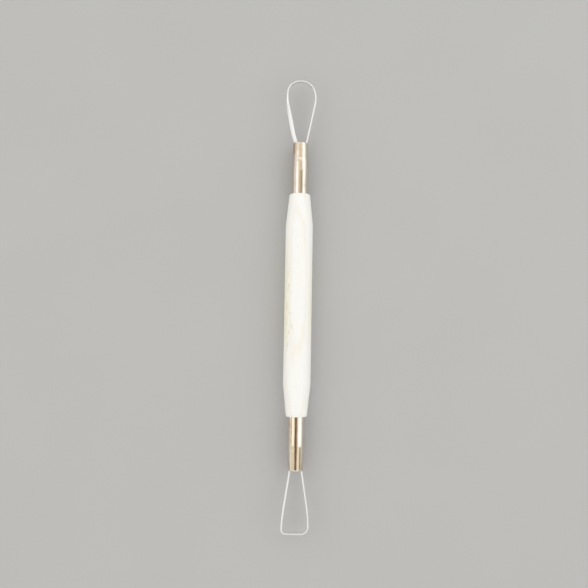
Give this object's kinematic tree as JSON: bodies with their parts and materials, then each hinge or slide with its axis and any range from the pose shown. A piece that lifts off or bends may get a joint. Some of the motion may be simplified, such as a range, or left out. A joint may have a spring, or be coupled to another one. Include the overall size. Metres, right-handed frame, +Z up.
{
  "type": "double-ended ribbon tool",
  "caption": "Slim turned wooden handle with a tapered metal ferrule at each end, one holding a pear-shaped steel ribbon loop and the other a square-ended loop, for carving clay.",
  "frame": {"origin": "under the middle of the tool's length, on the surface that the handle rests on", "axes": "+Y along the handle towards the pear loop, +Z up and square to the plane of both loops, +X across the loops"},
  "size_m": [0.0138, 0.2032, 0.0122],
  "materials": {
    "handle_wood": "pale close-grained wood, sanded smooth and lightly sealed",
    "ferrule_plate": "warm nickel-plated brass, drawn and polished, with faint streaks along it",
    "ribbon_steel": "bright rolled steel strip with both outer edges ground",
    "set_resin": "dull amber set resin"
  },
  "bodies": {
    "root": {"handle": "handle_wood", "pear_ferrule": "ferrule_plate", "pear_ribbon": "ribbon_steel", "pear_plug": "set_resin", "square_ferrule": "ferrule_plate", "square_ribbon": "ribbon_steel", "square_plug": "set_resin"}
  },
  "joints": []
}
